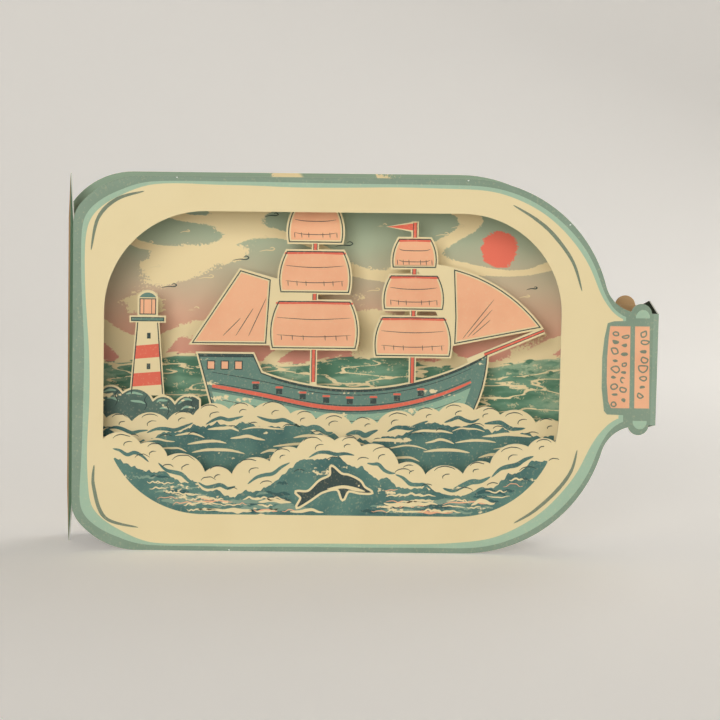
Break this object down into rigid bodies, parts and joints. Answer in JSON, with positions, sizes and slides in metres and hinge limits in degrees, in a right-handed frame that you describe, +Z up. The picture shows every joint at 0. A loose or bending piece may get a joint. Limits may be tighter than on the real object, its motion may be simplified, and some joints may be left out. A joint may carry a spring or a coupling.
{
  "type": "greeting card",
  "caption": "Layered die-cut greeting card shaped like a corked bottle lying on its side, with a ship layer between a windowed front and a plain back.",
  "frame": {"origin": "middle of the footprint, on the surface that the card stands on", "axes": "+X from the bottle's base to its cork, +Y from the front panel to the back panel, +Z up"},
  "size_m": [0.1826, 0.03, 0.116],
  "materials": {
    "front_card": "uncoated printed card, cream with sage green bands, matte",
    "ship_card": "uncoated printed card, cream border round printed shapes, matte",
    "back_card": "uncoated printed card, sky and sea print in front, plain cream behind, matte"
  },
  "bodies": {
    "root": {"front_sheet": "front_card", "ship_layer": "ship_card", "back_panel": "back_card"}
  },
  "joints": []
}
